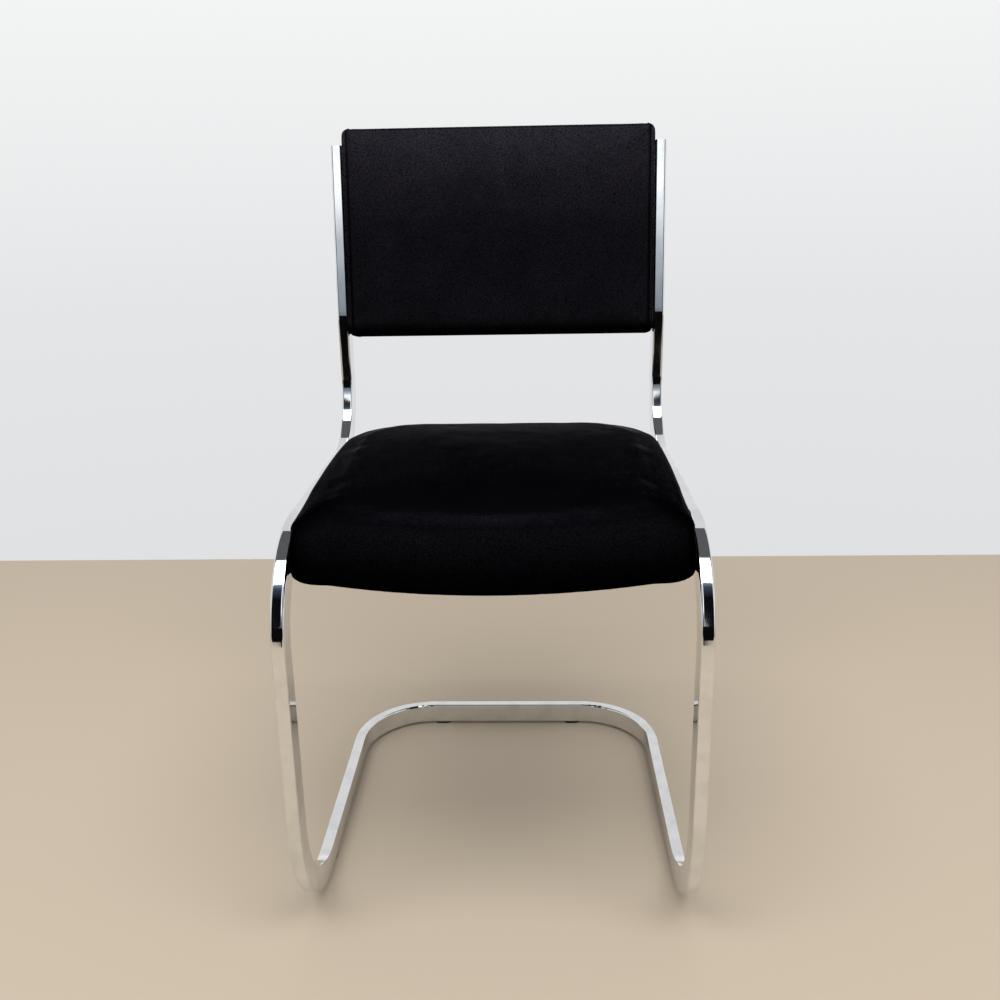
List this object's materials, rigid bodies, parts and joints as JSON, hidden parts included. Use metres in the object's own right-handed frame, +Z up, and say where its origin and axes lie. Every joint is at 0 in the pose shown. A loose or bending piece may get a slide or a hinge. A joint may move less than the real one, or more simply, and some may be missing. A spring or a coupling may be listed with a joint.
{
  "type": "sled base chair",
  "caption": "Cantilever dining chair on a sled base of bent chromed rectangular tube, with an upholstered black velvet seat and back.",
  "frame": {"origin": "on the floor, in the middle of the chair's width and of its depth", "axes": "+Z up, -Y the way the sitter faces, +X to the right as seen from the front"},
  "size_m": [0.45, 0.5549, 0.894],
  "materials": {
    "chrome": "bright chrome-plated steel tube",
    "velvet": "short-pile black velvet",
    "black_plastic": "moulded black plastic",
    "beech": "plain planed hardwood, hidden",
    "plywood": "plain plywood, hidden",
    "foam": "upholstery foam, hidden",
    "zinc_plated_steel": "zinc-plated steel, hidden",
    "dust_cloth": "thin black non-woven cloth"
  },
  "bodies": {
    "root": {"frame_left": "chrome", "frame_right": "chrome", "rear_bar_sleeve": "zinc_plated_steel", "end_cap_left": "chrome", "end_cap_right": "chrome", "glide_front_left": "black_plastic", "glide_front_right": "black_plastic", "glide_rear_left": "black_plastic", "glide_rear_right": "black_plastic", "seat_timber_front": "beech", "seat_timber_back": "beech", "seat_timber_left": "beech", "seat_timber_right": "beech", "seat_dowels": "beech", "seat_deck": "plywood", "seat_foam": "foam", "seat_cover": "velvet", "seat_dust_cloth": "dust_cloth", "seat_staples": "zinc_plated_steel", "seat_inserts": "zinc_plated_steel", "seat_bolts": "chrome", "back_timber_left": "beech", "back_timber_right": "beech", "back_timber_top": "beech", "back_timber_bottom": "beech", "back_dowels": "beech", "back_ply_panel": "plywood", "back_foam": "foam", "back_cover": "velvet", "back_rear_board": "velvet", "back_staples": "zinc_plated_steel", "back_inserts": "zinc_plated_steel", "back_bolts": "chrome"}
  },
  "joints": []
}
